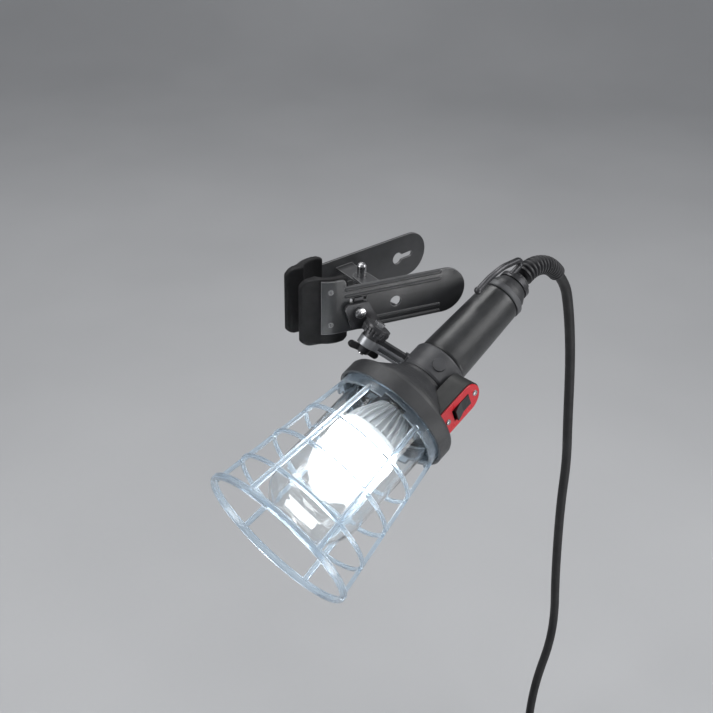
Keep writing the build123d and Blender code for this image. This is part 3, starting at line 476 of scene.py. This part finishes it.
def strain_relief():
    """Tapered boot with soft ribs that follows the cord's first bend."""
    places = along_spline([tuple(LAMP_EXIT)] + BOOT_ROUTE + [BOOT_END])
    rows = resample(places, 180)
    bm = bmesh.new()
    rings = []
    ribs, segments = 14, 40
    for k, (place, at, total) in enumerate(rows):
        share = at / total
        before = rows[max(k - 1, 0)][0]
        after = rows[min(k + 1, len(rows) - 1)][0]
        ahead = (after - before).normalized()
        across = ahead.cross(Vector((0, 0, 1))).normalized()
        over = across.cross(ahead)
        wave = 0.5 - 0.5 * math.cos(2 * math.pi * (share * ribs))
        rib = min(1.0, 1.5 * wave)
        outer, inner = 9.6 - 1.8 * share, 7.3 - 0.9 * share
        radius = (inner + (outer - inner) * rib) * MM
        if share > 0.985:
            radius = (5.3 + 1.2 * (1 - share) / 0.015) * MM
        ring = []
        for j in range(segments):
            a = 2 * math.pi * j / segments
            ring.append(bm.verts.new(place + (across * math.cos(a) + over * math.sin(a)) * radius))
        rings.append(ring)
    for a, b in zip(rings, rings[1:]):
        for j in range(segments):
            bm.faces.new((a[j], a[(j + 1) % segments], b[(j + 1) % segments], b[j]))
    bm.faces.new(rings[0])
    bm.faces.new(rings[-1])
    boot = add_mesh("boot_ribbed", bm, LOOKS["boot_rubber"], "lamp", sharp=60)
    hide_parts("strain_relief")


strain_relief()


# ------------------------------------------------------------------ turned parts: grip, bulb and globe
def grip():
    """Smooth rubber sleeve that tapers to the rear, with soft rolled ends."""
    bm = bmesh.new()
    outline = [(16.2, 67.1), (21.0, 67.1), (22.0, 69.0), (21.8, 78.6), (20.6, 112.0), (19.35, 143.0),
               (19.1, 145.6), (18.0, 146.9), (16.2, 146.9)]
    lathe(bm, rounded(outline, [0, 1.2, 1.6, 8, 14, 3, 1.0, 0.9, 0], 5), 128)
    piece = add_mesh("grip_sleeve", bm, LOOKS["grip_rubber"], "lamp", LAMP, sharp=50)
    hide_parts("grip")


def bulb_dome():
    """Opal dome of the bulb, drawn in slightly at its neck."""
    bm = bmesh.new()
    outline = [(0, -67.0), (3.0, -66.9)]
    for k in range(1, 26):
        a = math.radians(84 - 84 * k / 25)
        outline.append((29.9 * math.cos(a) ** 0.96, -38.0 - 29.0 * math.sin(a)))
    outline += [(29.75, -33.0), (29.2, -29.6), (28.8, -28.3), (27.6, -28.05), (0, -28.05)]
    lathe(bm, outline, 96, closed=False)
    piece = add_mesh("bulb_dome", bm, LOOKS["bulb_white"], "lamp", LAMP, sharp=60)
    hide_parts("bulb_diffuser")


def bulb_fins():
    """Finned body of the bulb."""
    bm = bmesh.new()
    core = [(0, -27.95), (28.2, -27.95), (28.5, -27.0), (28.4, -24.4), (27.6, -23.2), (24.5, -21.0),
            (13.5, 5.9), (0, 5.9)]
    lathe(bm, rounded(core, [0, 0.3, 0.4, 0.5, 0.8, 1.0, 0.4, 0], 3), 96, closed=False)
    for k in range(26):
        a = 2 * math.pi * k / 26
        outline = rounded([(12.0, -23.6), (27.6, -23.6), (25.4, -14.0), (15.8, 5.7), (12.0, 5.7)],
                          [0, 1.2, 8.0, 1.0, 0], 4)
        sides = []
        for off in (-0.55, 0.55):
            side = []
            for r, s in outline:
                x = r * MM * math.cos(a) - off * MM * math.sin(a)
                y = r * MM * math.sin(a) + off * MM * math.cos(a)
                side.append(bm.verts.new((x, y, s * MM)))
            sides.append(side)
        bm.faces.new(sides[0])
        bm.faces.new(list(reversed(sides[1])))
        count = len(outline)
        for j in range(count):
            bm.faces.new((sides[0][j], sides[0][(j + 1) % count], sides[1][(j + 1) % count], sides[1][j]))
    piece = add_mesh("bulb_fins", bm, LOOKS["heat_sink"], "lamp", LAMP, sharp=40)
    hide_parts("bulb_heat_sink")


def clear_globe():
    """Thin clear globe: straight wall, round shoulder, gently domed end and a seating flange."""
    bm = bmesh.new()
    outer = [(0, -121.9), (12.0, -121.4), (22.0, -118.6), (30.5, -112.8), (36.8, -104.6), (40.2, -95.0),
             (40.9, -88.0), (41.0, -60.0), (41.0, 2.9), (44.3, 2.9), (44.3, 5.9), (39.1, 5.9)]
    inner = [(39.1, -88.0), (38.3, -94.6), (35.1, -103.6), (29.2, -111.2), (21.3, -116.7), (11.8, -119.4),
             (0, -119.9)]
    smooth = [0, 10, 10, 10, 10, 8, 4, 0, 0.8, 0.6, 0.6, 0, 4, 8, 10, 10, 10, 10, 0]
    lathe(bm, rounded(outer + inner, smooth, 5), 112, closed=False)
    piece = add_mesh("globe_shell", bm, LOOKS["globe_clear"], "lamp", LAMP, sharp=40)
    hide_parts("globe")


grip()
bulb_dome()
bulb_fins()
clear_globe()


# ------------------------------------------------------------------ jaw pads
def jaw_pad(name, node, body):
    """Moulded rubber pad: the node's shape, remeshed and smoothed so that its edges are rounded."""
    bm = welded(node)
    mesh = bpy.data.meshes.new(name)
    bm.to_mesh(mesh)
    bm.free()
    piece = bpy.data.objects.new(name, mesh)
    bpy.context.scene.collection.objects.link(piece)
    remesh = piece.modifiers.new("remesh", "REMESH")
    remesh.mode = "VOXEL"
    remesh.voxel_size = PAD_VOXEL
    remesh.adaptivity = 0.0
    smooth = piece.modifiers.new("smooth", "SMOOTH")
    smooth.factor = 0.5
    smooth.iterations = 6
    depsgraph = bpy.context.evaluated_depsgraph_get()
    made = bpy.data.meshes.new_from_object(piece.evaluated_get(depsgraph))
    piece.modifiers.clear()
    piece.data = made
    for polygon in made.polygons:
        polygon.use_smooth = True
    made.materials.clear()
    made.materials.append(LOOKS["pad_rubber"])
    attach(piece, body)
    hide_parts(node)


jaw_pad("pad_front_moulded", "front_jaw_pad", "front_clamp")
jaw_pad("pad_rear_moulded", "rear_jaw_pad", "rear_clamp")


# ------------------------------------------------------------------ spring between the half clamps
def working_spring():
    """Copy of the torsion spring in spring steel, left on no body."""
    spring = add_mesh("spring_wound", welded("clamp_spring"), LOOKS["spring_steel"], None, sharp=40)
    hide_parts("clamp_spring")
    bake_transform(spring)


working_spring()


# ------------------------------------------------------------------ strap round the coil
def coil_strap():
    """Strap round the coil: the tie's shape with rounded edges and a woven look."""
    strap = add_mesh("coil_strap", welded("coil_tie"), LOOKS["strap_weave"], "lamp", sharp=40)
    soften_edges(strap, width=0.0004, segments=2, angle=30)
    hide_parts("coil_tie")
    return strap


COIL_STRAP = coil_strap()


# ------------------------------------------------------------------ plug overmould
def plug_body():
    """Moulded plug: the node's body and sleeve with rounded edges."""
    body = add_mesh("plug_moulded", welded("plug"), LOOKS["plug_rubber"], "lamp", sharp=50)
    soften_edges(body, width=0.0008, segments=3, angle=40)
    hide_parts("plug")
    return body


PLUG_BODY = plug_body()


# ------------------------------------------------------------------ floor, light
def build_stage():
    """Pale seamless floor with a backdrop that curves up behind it."""
    bm = bmesh.new()
    rows = []
    profile = [(-3.0, 0.0), (2.6, 0.0)]
    for k in range(1, 13):
        a = math.pi / 2 * k / 12
        profile.append((2.6 + 1.2 * math.sin(a), 1.2 * (1 - math.cos(a))))
    profile.append((3.8, 5.0))
    for depth, height in profile:
        rows.append([bm.verts.new((x, depth, height)) for x in (-5.0, 5.0)])
    for a, b in zip(rows, rows[1:]):
        bm.faces.new((a[0], a[1], b[1], b[0]))
    mesh = bpy.data.meshes.new("floor")
    bm.to_mesh(mesh)
    bm.free()
    for polygon in mesh.polygons:
        polygon.use_smooth = True
    floor = bpy.data.objects.new("floor", mesh)
    floor.matrix_world = Matrix.Translation((0, 0, FLOOR_Z)) @ Matrix.Rotation(math.radians(-33), 4, "Z")
    bpy.context.scene.collection.objects.link(floor)
    made, n, l, shader = material("floor_paper")
    shader.inputs["Roughness"].default_value = 0.9
    shader.inputs["Specular IOR Level"].default_value = 0.2
    clouds = texture(n, l, 1.5, 3.0, 0.5)
    l.new(ramp(n, l, clouds.outputs["Fac"], (0.44, 0.445, 0.455), (0.48, 0.485, 0.495)).outputs["Color"],
          shader.inputs["Base Color"])
    mesh.materials.append(made)


def area_light(name, place, target, size, power):
    data = bpy.data.lights.new(name, "AREA")
    data.shape = "RECTANGLE"
    data.size, data.size_y = size
    data.energy = power
    light = bpy.data.objects.new(name, data)
    light.visible_camera = False
    direction = Vector(target) - Vector(place)
    light.matrix_world = Matrix.Translation(place) @ direction.to_track_quat("-Z", "Y").to_matrix().to_4x4()
    bpy.context.scene.collection.objects.link(light)


def build_lights():
    area_light("key_right", (1.3, -0.9, 0.9), (0.05, -0.05, -0.05), (1.0, 1.0), 17)
    area_light("key_left", (-1.3, 0.2, 0.9), (0.0, 0.0, -0.1), (0.8, 1.2), 14)
    area_light("top", (0.4, 1.0, 1.7), (0.15, 0.3, -0.1), (1.2, 1.2), 22)
    area_light("low_right", (0.45, -0.95, -0.35), (0.12, -0.06, 0.0), (0.35, 0.5), 3.5)
    world = bpy.data.worlds.new("world")
    world.use_nodes = True
    world.node_tree.nodes["Background"].inputs["Color"].default_value = (0.80, 0.82, 0.86, 1)
    world.node_tree.nodes["Background"].inputs["Strength"].default_value = 0.35
    bpy.context.scene.world = world


build_stage()
build_lights()
bpy.context.scene.view_settings.view_transform = "Standard"
